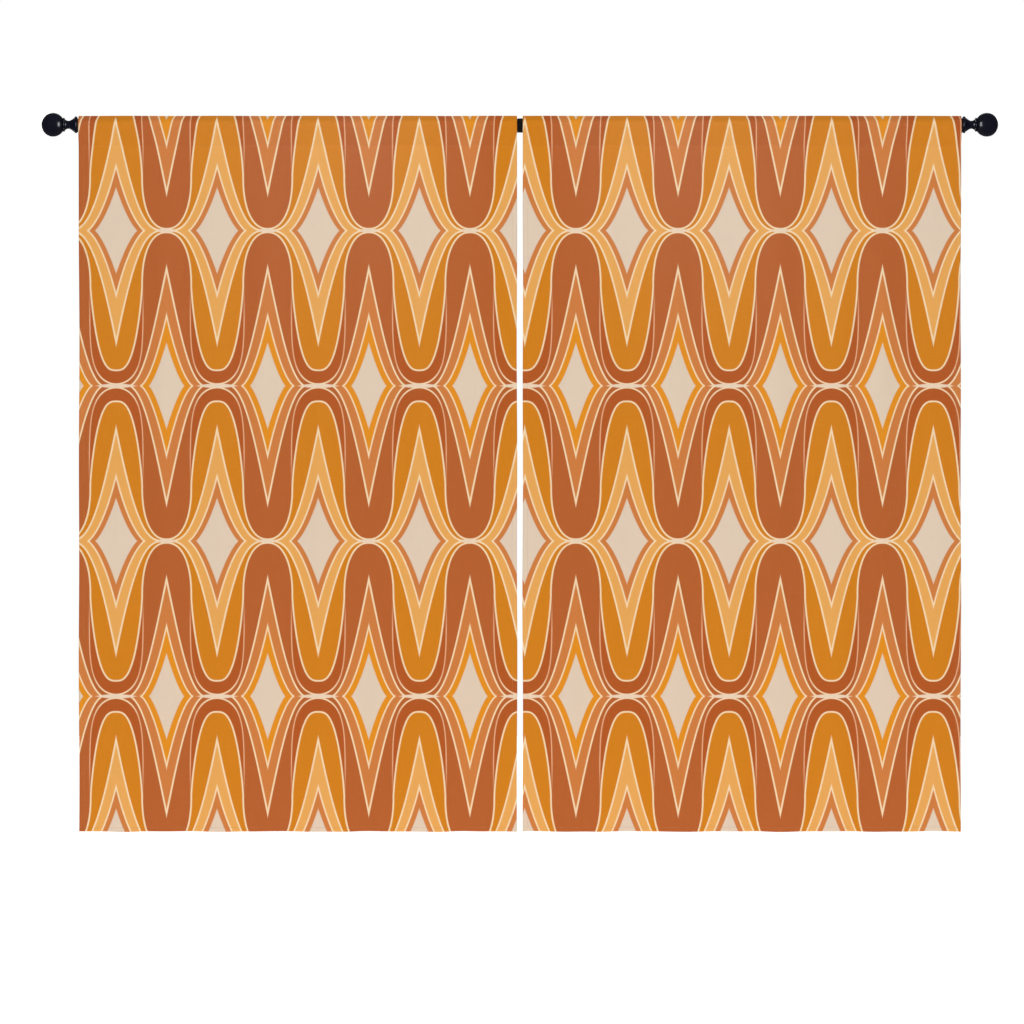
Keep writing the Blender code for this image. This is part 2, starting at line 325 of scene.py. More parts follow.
# ---------------------------------------------------------------- finishes
@dataclass(frozen=True)
class Lacquer:
    """A dark sprayed finish, from full gloss to powder coat."""

    name: str
    screen: tuple[int, int, int]
    roughness: float
    roughness_spread: float
    grain_size: float
    grain_depth: float
    specular: float = 0.5

    def made(self) -> bpy.types.Material:
        """The finish as a material on Object coordinates."""
        shade = Shade(self.name, self.roughness)
        place = shade.place()
        cloud = shade.noise(place, 18.0, 4.0)
        dust = shade.noise(place, 140.0, 6.0).ramp(0.62, 0.80) * 0.25
        dark = linear(self.screen)
        pale = (dark[0] * 2.4 + 0.004, dark[1] * 2.4 + 0.004, dark[2] * 2.4 + 0.004, 1.0)
        shade.colour(shade.painted(dark, pale, dust + cloud.ramp(0.45, 0.75) * 0.25))
        spread = self.roughness_spread
        shade.rough(cloud * (2 * spread) + (self.roughness - spread))
        shade.bump(shade.noise(place, 1 / self.grain_size, 2.0), 0.35, self.grain_depth)
        shade.set("Specular IOR Level", self.specular)
        return shade.material


@dataclass(frozen=True)
class BareMetal:
    """Zinc-plated steel, brushed along the rod's line."""

    name: str = "zinc_steel"
    screen: tuple[int, int, int] = (178, 178, 172)

    def made(self) -> bpy.types.Material:
        """The finish as a material on Object coordinates."""
        shade = Shade(self.name, 0.34, 1.0)
        streaks = shade.noise(shade.stretched((30.0, 900.0, 900.0)), 1.0, 4.0)
        bright = linear(self.screen)
        dull = (bright[0] * 0.7, bright[1] * 0.7, bright[2] * 0.72, 1.0)
        shade.colour(shade.painted(bright, dull, streaks.ramp(0.35, 0.7)))
        shade.rough(streaks * 0.2 + 0.24)
        shade.bump(streaks, 0.2, 0.0001)
        return shade.material


@dataclass(frozen=True)
class MouldedPlastic:
    """Black moulded plastic with a fine spark-eroded texture."""

    name: str = "moulded_plastic"
    screen: tuple[int, int, int] = (38, 38, 39)

    def made(self) -> bpy.types.Material:
        """The finish as a material on Object coordinates."""
        shade = Shade(self.name, 0.5)
        place = shade.place()
        grain = shade.noise(place, 1500.0, 2.0)
        dark = linear(self.screen)
        pale = (dark[0] * 1.6, dark[1] * 1.6, dark[2] * 1.6, 1.0)
        shade.colour(shade.painted(dark, pale, shade.noise(place, 90.0).ramp(0.4, 0.8)))
        shade.rough(grain * 0.16 + 0.42)
        shade.bump(grain, 0.4, 0.0001)
        return shade.material


@dataclass(frozen=True)
class Thread:
    """Twisted sewing thread."""

    name: str = "sewing_thread"
    screen: tuple[int, int, int] = (206, 148, 92)

    def made(self) -> bpy.types.Material:
        """The finish as a material on Object coordinates."""
        shade = Shade(self.name, 0.7)
        fibres = shade.noise(shade.place(), 2500.0, 2.0)
        light = linear(self.screen)
        deep = (light[0] * 0.72, light[1] * 0.70, light[2] * 0.66, 1.0)
        shade.colour(shade.painted(light, deep, fibres.ramp(0.35, 0.7)))
        shade.bump(fibres, 0.5, 0.00005)
        shade.set("Sheen Weight", 0.15)
        return shade.material


class PrintShape:
    """A shape of the print about a crossing of its lattice.

    A shape's half_width is a share of the repeat, and its half_height a share of half the repeat.
    """

    def distance(self, across: Field, down: Field, repeat: Lattice) -> Field:
        """Distance from the shape's edge on the cloth, in metres, above 0 outside it.

        Args:
            across: Distance from the upright line, as a share of the repeat.
            down: Distance from the level line, as a share of half the repeat.
            repeat: The lattice that gives the shares their size.

        Returns:
            The distance.
        """
        raise NotImplementedError


@dataclass(frozen=True)
class Diamond(PrintShape):
    """One diamond of the print: hollow at its upright tips, straight at its level ones.

    The power says how hollow the sides are, and hollow_share how much of their height that curve makes up.
    """

    half_width: float
    half_height: float
    power: float
    hollow_share: float

    def distance(self, across: Field, down: Field, repeat: Lattice) -> Field:
        """Distance from the diamond's edge."""
        straight = 1 - self.hollow_share
        inward = (1.0 - across / self.half_width).maths("MAXIMUM", 0.0001)
        rise = (inward ** self.power) * self.hollow_share + inward * straight
        slope = (inward ** (self.power - 1)) * (self.hollow_share * self.power) + straight
        edge = repeat.measured(down - rise * self.half_height, slope * (self.half_height / self.half_width))
        return edge.maths("MAXIMUM", (across - self.half_width) * repeat.across)


@dataclass(frozen=True)
class Swag(PrintShape):
    """One swag of the print: it falls from a sharp tip on the upright line and flattens along the level one.

    The power says how fast it flattens, power_change how that grows across, and lift how far the edge is
    raised.
    """

    half_width: float
    half_height: float
    power: float
    power_change: float
    lift: float

    def distance(self, across: Field, down: Field, repeat: Lattice) -> Field:
        """Distance from the swag's edge."""
        inward = (1.0 - across / self.half_width).maths("MAXIMUM", 0.0001)
        power = across * self.power_change + self.power
        slope = power * (inward ** (power - 1.0)) * (self.half_height / self.half_width)
        return repeat.measured(down - (inward ** power) * self.half_height - self.lift, slope)


@dataclass(frozen=True)
class Drop(PrintShape):
    """One drop of the print: a round foot, straight sides, and a shoulder that an arch cuts on each side.

    springing is the height at which the arch starts and arch_top where it ends, as shares of half the repeat.
    The foot and arch powers say how square an end is along the drop, and the side powers how square across.
    """

    half_width: float
    half_height: float
    foot_power: float
    side_power: float = 2.0
    springing: float = 0.0
    arch_side_power: float = 2.0
    arch_power: float = 2.0
    arch_top: float = 0.0

    def oval(self, out: Field, fall: Field, half_width: float, powers: tuple[float, float],
             reach: float, repeat: Lattice) -> Field:
        """Distance from a rounded end.

        Args:
            out: Distance from the end's middle line, as a share of the repeat.
            fall: How far along the end, from 0 to 1.
            half_width: Half the end's width.
            powers: How square it is across and along.
            reach: Its length, as a share of half the repeat.
            repeat: The lattice that gives the shares their size.

        Returns:
            The distance in metres, above 0 outside it.
        """
        side_power, power = powers
        share = (out / half_width).maths("MAXIMUM", 0.001)
        over = share ** side_power + fall ** power - 1.0
        level = (share ** (side_power - 1)) * (side_power / half_width / repeat.across)
        upright = (fall.maths("MAXIMUM", 0.001) ** (power - 1)) * (power / reach / repeat.half_down)
        return over / (level * level + upright * upright + 0.1).maths("SQRT")

    def distance(self, across: Field, down: Field, repeat: Lattice) -> Field:
        """Distance from the drop's edge."""
        reach = self.half_height - self.springing
        foot = self.oval(across, ((down - self.springing) / reach).maths("MAXIMUM", 0.0), self.half_width,
                         (self.side_power, self.foot_power), reach, repeat)
        if not self.springing:
            return foot
        rise = self.springing - self.arch_top
        arch = self.oval(0.5 - across, ((self.springing - down) / rise).maths("MAXIMUM", 0.0),
                         0.5 - self.half_width, (self.arch_side_power, self.arch_power), rise, repeat)
        lower = down.maths("GREATER_THAN", self.springing)
        return lower * foot - (1.0 - lower) * arch


@dataclass(frozen=True)
class Knot(PrintShape):
    """The flat pointed lens where outlines run together between two drops."""

    half_width: float
    half_height: float

    def distance(self, across: Field, down: Field, repeat: Lattice) -> Field:
        """Distance from the knot's edge."""
        level = across / self.half_width
        return (down / self.half_height + level * level - 1.0) * (self.half_height * repeat.half_down)


@dataclass(frozen=True)
class Lattice:
    """The print's repeat and where it starts on one panel, on the flat cloth in metres.

    first_column and first_row are the distances from the panel's left edge and top fold to the first
    upright and level line that a cream diamond is centred on.
    """

    across: float
    half_down: float
    first_column: float
    first_row: float

    def measured(self, over: Field, slope: Field) -> Field:
        """Turn a height above a curve into a distance from it.

        Args:
            over: Height above the curve, as a share of half the repeat.
            slope: The curve's fall for one whole repeat across.

        Returns:
            The distance in metres.
        """
        level = slope / self.across
        return over / (level * level + 1 / self.half_down ** 2).maths("SQRT")


@dataclass(frozen=True)
class PrintedCloth:
    """Woven cloth with a print of nested drops and hollow-sided diamonds in warm dyes."""

    name: str
    lattice: Lattice
    show_through: float = 1.0
    thread_pitch: float = 0.0009
    softness: float = 0.0012

    def made(self) -> bpy.types.Material:
        """The cloth as a material on the piece's own UV map, which is in metres of flat cloth."""
        shade = Shade(self.name, 0.88)
        place = shade.place("UV")
        across, down, _ = shade.axes(place)
        dyed = self.print_colour(shade, across, down)
        if self.show_through < 1:
            dyed = shade.painted(linear((235, 214, 190)), dyed, self.show_through)
        slubs = self.slubs(shade)
        dyed = shade.painted(dyed, linear((255, 240, 214)), slubs.ramp(0.54, 0.80) * 0.05)
        dyed = shade.painted(dyed, linear((96, 50, 22)), slubs.ramp(0.46, 0.20) * 0.10)
        shade.colour(dyed)
        weave = self.weave(across, down)
        shade.rough(weave * 0.08 + 0.84)
        shade.bump(weave * 0.6 + slubs * 0.4, 0.30, 0.00025)
        shade.set("Sheen Weight", 0.02)
        shade.set("Sheen Roughness", 0.5)
        shade.set("Specular IOR Level", 0.15)
        return shade.material

    def slubs(self, shade: Shade) -> Field:
        """Thick and thin yarns along both directions of the weave."""
        warp = shade.noise(shade.stretched((620.0, 14.0, 1.0), "UV"), 1.0, 3.0)
        weft = shade.noise(shade.stretched((14.0, 620.0, 1.0), "UV"), 1.0, 3.0)
        return (warp + weft) * 0.5

    def weave(self, across: Field, down: Field) -> Field:
        """A plain weave, as a height from 0 to 1."""
        turn = math.pi / self.thread_pitch
        over = (across * turn).maths("SINE") * (down * turn).maths("SINE")
        return over * 0.5 + 0.5

    def print_colour(self, shade: Shade, across: Field, down: Field) -> bpy.types.NodeSocket:
        """The print's colour at a place on the flat cloth.

        Args:
            shade: The material that gets the nodes.
            across: Metres from the panel's left edge.
            down: Metres from its top fold.

        Returns:
            The colour.
        """
        lattice = self.lattice
        out = ((across - lattice.first_column) / lattice.across).maths("PINGPONG", 0.5)
        fall = ((down - lattice.first_row) / lattice.half_down).maths("PINGPONG", 1.0)
        out_b, fall_b = 0.5 - out, 1.0 - fall
        colour: bpy.types.NodeSocket | Colour = Dye.RUST.linear

        def fill(distance: Field, dye: Dye, soft: float = self.softness,
                 share: Field | None = None) -> None:
            """Dye the inside of a shape."""
            nonlocal colour
            mask = distance.ramp(soft, -soft)
            colour = shade.painted(colour, dye.linear, mask if share is None else mask * share)

        def outline(distance: Field, width: float, dye: Dye = Dye.OUTLINE,
                    share: Field | None = None) -> None:
            """Draw a line of one width along a shape's edge."""
            fill(distance.maths("ABSOLUTE") - width / 2, dye, share=share)

        shadow = Drop(half_width=0.2664, half_height=0.9884, foot_power=8.89).distance(out, fall, lattice)
        fill(shadow, Dye.DEEP_RUST, 0.002, fall.ramp(0.30, 0.55))
        outline(shadow, 0.0034, Dye.SALMON, fall.ramp(0.37, 0.57))
        outline(shadow, 0.0040, share=fall.ramp(0.86, 0.97))
        drop = Drop(half_width=0.257, half_height=0.900, foot_power=1.25, side_power=2.85, springing=0.3528,
                    arch_side_power=2.25, arch_power=2.3, arch_top=0.0115).distance(out, fall, lattice)
        fill(drop, Dye.ORANGE)
        outline(drop, 0.0048)
        nest = (
            (Swag(0.5011, 0.721, 2.209, 1.7288, -0.0004), Dye.HONEY, 0.0052),
            (Diamond(0.2774, 0.4167, 2.1167, 0.6022), Dye.TERRACOTTA, 0.0046),
            (Diamond(0.2079, 0.2775, 1.9007, 0.5116), Dye.CREAM, 0.0),
        )
        nest_b = (
            (Swag(0.4635, 0.767, 1.9129, 2.1872, -0.0125), Dye.TERRACOTTA, 0.0052),
            (Diamond(0.255, 0.451, 1.8684, 0.7373), Dye.MARIGOLD, 0.0043),
            (Diamond(0.1744, 0.278, 1.6458, 0.6023), Dye.CREAM, 0.0),
        )
        for shapes, level, upright in ((nest, out, fall), (nest_b, out_b, fall_b)):
            for shape, dye, width in shapes:
                edge = shape.distance(level, upright, lattice)
                fill(edge, dye)
                if width:
                    outline(edge, width)
        fill(Knot(0.105, 0.0135).distance(out_b, fall, lattice), Dye.PALE_SAND)
        fill(Knot(0.205, 0.0140).distance(out, fall_b, lattice), Dye.PALE_SAND)
        return colour


@dataclass
class Finishes:
    """Every material of the object, made once."""

    gloss: bpy.types.Material = field(init=False)
    powder: bpy.types.Material = field(init=False)
    zinc: bpy.types.Material = field(init=False)
    plastic: bpy.types.Material = field(init=False)
    thread: bpy.types.Material = field(init=False)

    def __post_init__(self) -> None:
        """Make the materials."""
        self.gloss = Lacquer("black_gloss_lacquer", (17, 18, 30), 0.20, 0.03, 0.004, 0.00003, 0.16).made()
        self.powder = Lacquer("black_powder_coat", (17, 17, 20), 0.36, 0.05, 0.0011, 0.00008, 0.25).made()
        self.zinc = BareMetal().made()
        self.plastic = MouldedPlastic().made()
        self.thread = Thread().made()


# ---------------------------------------------------------------- mesh helpers
def piece(name: str, bm: bmesh.types.BMesh, *materials: bpy.types.Material, sharp_degrees: float = 35.0,
          ) -> bpy.types.Object:
    """Turn a bmesh into an object at the origin, smooth but for its sharp edges.

    Args:
        name: The piece's name.
        bm: Its shape in place, which is freed.
        materials: Its material slots in order.
        sharp_degrees: Edges that turn more than this stay sharp.

    Returns:
        The object.
    """
    mesh = bpy.data.meshes.new(name)
    bm.to_mesh(mesh)
    bm.free()
    for material in materials:
        mesh.materials.append(material)
    mesh.shade_smooth()
    mesh.set_sharp_from_angle(angle=math.radians(sharp_degrees))
    made = bpy.data.objects.new(name, mesh)
    bpy.context.scene.collection.objects.link(made)
    return made


def soften(bm: bmesh.types.BMesh, width: float, segments: int = 3, least_degrees: float = 30.0) -> None:
    """Round every edge that turns sharply.

    Args:
        bm: The shape.
        width: The bevel's width.
        segments: Its number of steps.
        least_degrees: Edges that turn less than this are left.
    """
    least = math.radians(least_degrees)
    sharp = [e for e in bm.edges if len(e.link_faces) == 2 and e.calc_face_angle(0.0) > least]
    bmesh.ops.bevel(bm, geom=sharp, offset=width, segments=segments, profile=0.5, affect="EDGES", material=-1,
                    clamp_overlap=True)


def turned(profile: Profile, closed: bool = False, steps: int = 96) -> bmesh.types.BMesh:
    """Spin a profile about the X axis.

    Args:
        profile: (distance along the axis, radius) from one end to the other.
        closed: Whether the profile is a closed outline, as a tube's wall is.
        steps: Steps in a full turn.

    Returns:
        The turned shape about the origin.
    """
    bm = bmesh.new()
    verts = [bm.verts.new((along, 0, radius)) for along, radius in profile]
    ends = list(zip(verts, verts[1:])) + ([(verts[-1], verts[0])] if closed else [])
    edges = [bm.edges.new(pair) for pair in ends]
    bmesh.ops.spin(bm, geom=verts + edges, cent=(0, 0, 0), axis=(1, 0, 0), angle=2 * math.pi, steps=steps,
                   use_merge=True)
    bmesh.ops.remove_doubles(bm, verts=bm.verts, dist=0.000001)
    bmesh.ops.recalc_face_normals(bm, faces=bm.faces)
    return bm


def add_thread(bm: bmesh.types.BMesh, start: float, end: float, core: float, crest: float, pitch: float,
               steps: int = 16) -> None:
    """Wind a screw thread's ridge round the X axis.

    Args:
        bm: The shape that gets the ridge.
        start: Where the thread starts along X.
        end: Where it ends.
        core: Radius at its foot.
        crest: Radius at its top.
        pitch: Distance between turns.
        steps: Steps in a turn.
    """
    turns = (end - start) / pitch - 1
    foot = core - pitch * 0.15
    corners = ((start, foot), (start + pitch * 0.44, crest), (start + pitch * 0.56, crest),
               (start + pitch, foot))
    verts = [bm.verts.new((along, 0, radius)) for along, radius in corners]
    face = bm.faces.new(verts)
    bmesh.ops.spin(bm, geom=[face, *face.edges, *verts], cent=(0, 0, 0), axis=(1, 0, 0),
                   dvec=(pitch / steps, 0, 0), angle=2 * math.pi * turns, steps=round(turns * steps))


def moved(bm: bmesh.types.BMesh, place: Vector, turn: Matrix | None = None) -> bmesh.types.BMesh:
    """Turn a shape about the origin, then carry it to its place."""
    if turn is not None:
        bmesh.ops.transform(bm, matrix=turn, verts=bm.verts)
    bmesh.ops.translate(bm, verts=bm.verts, vec=place)
    return bm


def mirrored(bm: bmesh.types.BMesh, side: Side) -> bmesh.types.BMesh:
    """Point a shape made along +X to its own end of the rod."""
    if side is Side.LEFT:
        turn = Matrix.Rotation(math.pi, 4, "Z")
        bmesh.ops.transform(bm, matrix=turn, verts=bm.verts)
    return bm


def from_node(node: str) -> bmesh.types.BMesh:
    """A copy of a CAD node's shape, with its loose triangles joined and its flat faces whole."""
    bm = bmesh.new()
    bm.from_mesh(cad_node(node).data)
    bmesh.ops.remove_doubles(bm, verts=bm.verts, dist=0.00001)
    bmesh.ops.dissolve_limit(bm, angle_limit=math.radians(1), verts=bm.verts, edges=bm.edges)
    return bm


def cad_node(node: str) -> bpy.types.Object:
    """The frame's object of a CAD node."""
    return FRAME["nodes"][node]


def middle(node: str) -> Vector:
    """The middle of a node's box."""
    low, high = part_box(node)
    return (Vector(low) + Vector(high)) / 2


def extent(node: str) -> Vector:
    """The size of a node's box."""
    low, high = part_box(node)
    return Vector(high) - Vector(low)


def settle(made: bpy.types.Object, body: str, slot: str | None, *nodes: str) -> bpy.types.Object:
    """Let a piece ride on its body and stand for its nodes.

    Args:
        made: The piece.
        body: The CAD body that it moves with.
        slot: Not used.
        nodes: The CAD nodes that it stands for.

    Returns:
        The piece.
    """
    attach(made, body)
    if nodes:
        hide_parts(*nodes)
    log.info("%s on %s: %d faces", made.name, body, len(made.data.polygons))
    return made


# ---------------------------------------------------------------- the rod
@dataclass
class Rod:
    """The two tubes that telescope, the plugs in their ends and the studs that hold the finials."""

    finishes: Finishes
    wall: float = 0.001
    rim_round: float = 0.0004
    stud_pitch: float = 0.00125
    stud_core: float = 0.0034

    def build(self) -> None:
        """Build and dress every piece of the rod."""
        self.tube("rod_outer_tube", "outer_rod")
        self.tube("rod_inner_tube", "inner_rod")
        for side, body in ((Side.RIGHT, "outer_rod"), (Side.LEFT, "inner_rod")):
            self.plug(side, body)
            self.stud(side, body)

    def tube(self, node: str, body: str) -> None:
        """One tube with rounded rims, in satin black."""
        size = extent(node)
        half, radius = size.x / 2, size.z / 2
        wall = [(-half, radius - self.wall), (-half, radius), (half, radius), (half, radius - self.wall)]
        bm = turned(wall, closed=True)
        soften(bm, self.rim_round)
        made = piece(f"{node}_drawn", moved(bm, middle(node)), self.finishes.powder, sharp_degrees=60)
        settle(made, body, "black_metal", node)

    def plug(self, side: Side, body: str) -> None:
        """The moulded plug in a tube's end."""
        node = f"{side.label}_end_plug"
        bm = from_node(node)
        soften(bm, 0.0003, 2, 40)
        settle(piece(f"{node}_moulded", bm, self.finishes.plastic), body, "plug_plastic", node)

    def stud(self, side: Side, body: str) -> None:
        """The threaded stud that a finial turns onto."""
        node = f"{side.label}_finial_stud"
        size = extent(node)
        half, crest = size.x / 2, size.z / 2
        core = self.stud_core
        profile = [(-half, 0), (-half, core * 0.7), (-half + core * 0.3, core), (half - core * 0.3, core),
                   (half, core * 0.7), (half, 0)]
        bm = turned(profile, steps=32)
        add_thread(bm, -half + core * 0.3, half - core * 0.3, core, crest, self.stud_pitch)
        bmesh.ops.recalc_face_normals(bm, faces=bm.faces)
        made = piece(f"{node}_threaded", moved(bm, middle(node)), self.finishes.zinc)
        settle(made, body, "zinc", node)


# ---------------------------------------------------------------- the finials
@dataclass
class Finial:
    """The turned base with its collar, cove neck and bead, and the ball that sits in the bead."""

    side: Side
    finishes: Finishes
    collar_along: float = 0.0048
    collar_width: float = 0.0026
    rim_radius: float = 0.01775
    neck_along: float = 0.0255
    neck_width: float = 0.0025
    neck_radius: float = 0.0119
    bead_radius: float = 0.0209
    bead_width: float = 0.0050
    corner: float = 0.0012

    def build(self) -> None:
        """Build and dress both pieces."""
        self.base()
        self.ball()

    def base_profile(self, length: float, collar: float) -> list[tuple[float, float]]:
        """The base's outline, from the middle of the ball's seat back to the tube's rim.

        Args:
            length: From the tube's end to the bead's front.
            collar: The collar's radius.

        Returns:
            (distance from the tube's end, radius) for each point.
        """
        roll = self.bead_width / 2
        bead_middle = length - roll
        bead_foot = self.bead_radius - roll
        points = [(length - 0.4 * roll, 0.0), (length - 0.4 * roll, bead_foot - 0.8 * roll)]
        for i in range(13):
            angle = math.pi * i / 12
            points.append((bead_middle + roll * math.cos(angle), bead_foot + roll * math.sin(angle)))
        flare = (length - self.bead_width - 0.0003, bead_foot - 0.0006)
        waist = self.neck_along + self.neck_width
        points += self.cove(flare, (waist, self.neck_radius), 2.2, 12)
        points.append((self.neck_along, self.neck_radius))
        shoulder = (self.collar_along + self.collar_width + self.corner, collar - self.corner)
        points += reversed(self.cove(shoulder, (self.neck_along, self.neck_radius), 1.35, 14))
        for i in range(1, 5):
            angle = math.pi / 2 * i / 4
            points.append((shoulder[0] - self.corner + self.corner * math.cos(angle),
                           shoulder[1] + self.corner * math.sin(angle)))
        for i in range(11):
            angle = math.pi / 2 * (1 - i / 10)
            points.append((self.collar_along * (1 - math.cos(angle)),
                           self.rim_radius + (collar - self.rim_radius) * math.sin(angle)))
        return points + [(0.0, 0.0)]

    def cove(self, start: tuple[float, float], end: tuple[float, float], power: float, steps: int,
             ) -> list[tuple[float, float]]:
        """A hollow curve that falls from one point and flattens into another.

        Args:
            start: (along, radius) where it is steep.
            end: (along, radius) where it is flat.
            power: How hollow it is.
            steps: Number of steps.

        Returns:
            Its points, both ends included.
        """
        shares = [i / steps for i in range(steps + 1)]
        return [(start[0] + (end[0] - start[0]) * s, end[1] + (start[1] - end[1]) * (1 - s) ** power)
                for s in shares]

    def base(self) -> None:
        """The turned base."""
        node = f"{self.side.label}_finial_base"
        size = extent(node)
        bm = turned(self.base_profile(size.x, size.z / 2), steps=128)
        centre = middle(node)
        start = centre.x - self.side.value * size.x / 2
        made = piece(f"{node}_turned", moved(mirrored(bm, self.side), Vector((start, centre.y, centre.z))),
                     self.finishes.gloss)
        settle(made, f"{self.side.label}_finial", "black_gloss", node)

    def ball(self) -> None:
        """The ball, flat where it is seated in the bead."""
        node = f"{self.side.label}_finial_ball"
        size = extent(node)
        radius = size.z / 2
        flat = radius - size.x
        bm = bmesh.new()
        bmesh.ops.create_uvsphere(bm, u_segments=96, v_segments=56, radius=radius,
                                  matrix=Matrix.Rotation(math.pi / 2, 4, "Y"))
        cut = bmesh.ops.bisect_plane(bm, geom=[*bm.verts, *bm.edges, *bm.faces], plane_co=(flat, 0, 0),
                                     plane_no=(1, 0, 0), clear_inner=True)
        rim = [e for e in cut["geom_cut"] if isinstance(e, bmesh.types.BMEdge)]
        bmesh.ops.holes_fill(bm, edges=rim, sides=0)
        bmesh.ops.recalc_face_normals(bm, faces=bm.faces)
        tip = middle(node).x + self.side.value * size.x / 2
        centre = Vector((tip - self.side.value * radius, middle(node).y, middle(node).z))
        made = piece(f"{node}_turned", moved(mirrored(bm, self.side), centre), self.finishes.gloss)
        settle(made, f"{self.side.label}_finial", "black_gloss", node)


# ---------------------------------------------------------------- the brackets
@dataclass
class WallBracket:
    """One bracket: the wall plate, its arm and its two screws."""

    label: str
    screws: tuple[str, str]
    finishes: Finishes
    corner_round: float = 0.004
    edge_round: float = 0.0004

    def build(self) -> None:
        """Build and dress every piece of the bracket."""
        self.plate()
        self.arm()
        for place in self.screws:
            self.screw(f"{self.label}_{place}_screw")

    def plate(self) -> None:
        """The wall plate, with rounded corners and its screw holes."""
        node = f"{self.label}_wall_plate"
        bm = from_node(node)
        low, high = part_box(node)
        corners = [e for e in bm.edges
                   if all(min(abs(v.co.x - low[0]), abs(v.co.x - high[0])) < 0.0001
                          and min(abs(v.co.z - low[2]), abs(v.co.z - high[2])) < 0.0001 for v in e.verts)
                   and abs(e.verts[0].co.y - e.verts[1].co.y) > 0.001]
        bmesh.ops.bevel(bm, geom=corners, offset=self.corner_round, segments=8, profile=0.5, affect="EDGES",
                        material=-1, clamp_overlap=True)
        soften(bm, self.edge_round, 2, 40)
        settle(piece(f"{node}_pressed", bm, self.finishes.powder), "brackets", "black_metal", node)

    def arm(self) -> None:
        """The arm with its seat for the rod."""
        node = f"{self.label}_bracket_arm"
        bm = from_node(node)
        soften(bm, self.edge_round, 3, 40)
        settle(piece(f"{node}_pressed", bm, self.finishes.powder), "brackets", "black_metal", node)

    def screw(self, node: str) -> None:
        """A pan-head screw with a cross recess and a wood thread, driven towards +Y."""
        size = extent(node)
        low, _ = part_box(node)
        head = size.x / 2
        head_height = head * 0.667
        length = size.y - head_height
        core, crest = head * 0.37, head * 0.51
        dome = [(head_height * (1 - math.sin(a)) - head_height, head * math.cos(a))
                for a in (math.pi / 2 * i / 10 for i in range(10, 1, -1))]
        profile = [*dome, (-head_height * 0.3, head), (-0.0001, head), (0.0, head * 0.97), (0.0, core)]
        profile += [(length - 3 * crest, core), (length, 0.0)]
        bm = turned(profile, steps=32)
        self.recess(bm, head, head_height)
        add_thread(bm, length * 0.22, length - 1.6 * crest, core, crest, crest * 0.7, 12)
        bmesh.ops.recalc_face_normals(bm, faces=bm.faces)
        centre = middle(node)
        turn = Matrix.Rotation(math.pi / 2, 4, "Z")
        made = piece(f"{node}_threaded", moved(bm, Vector((centre.x, low[1] + head_height, centre.z)), turn),
                     self.finishes.powder)
        settle(made, "brackets", "black_metal", node)

    def recess(self, bm: bmesh.types.BMesh, head: float, head_height: float) -> None:
        """Sink a cross into the crown of a screw's head.

        Args:
            bm: The screw about the X axis, with its head towards -X.
            head: The head's radius.
            head_height: The head's height.
        """
        arm, half = head * 0.55, head * 0.11
        for normal, offset in (((0, 1, 0), half), ((0, -1, 0), half), ((0, 0, 1), half), ((0, 0, -1), half),
                               ((0, 1, 0), arm), ((0, -1, 0), arm), ((0, 0, 1), arm), ((0, 0, -1), arm)):
            crown = [f for f in bm.faces if f.calc_center_median().x < -head_height * 0.5]
            cut_geom = {*crown, *(e for f in crown for e in f.edges), *(v for f in crown for v in f.verts)}
            bmesh.ops.bisect_plane(bm, geom=list(cut_geom), plane_co=Vector(normal) * offset, plane_no=normal)
        sunk = []
        for face in bm.faces:
            centre = face.calc_center_median()
            reach, side = max(abs(centre.y), abs(centre.z)), min(abs(centre.y), abs(centre.z))
            if centre.x < -head_height * 0.5 and reach < arm and side < half:
                sunk.append(face)
        made = bmesh.ops.extrude_face_region(bm, geom=sunk)
        bmesh.ops.delete(bm, geom=sunk, context="FACES_ONLY")
        floor = [v for v in made["geom"] if isinstance(v, bmesh.types.BMVert)]
        for vert in floor:
            vert.co.x = -head_height * 0.35 - 0.3 * head_height * (max(abs(vert.co.y), abs(vert.co.z)) / arm)


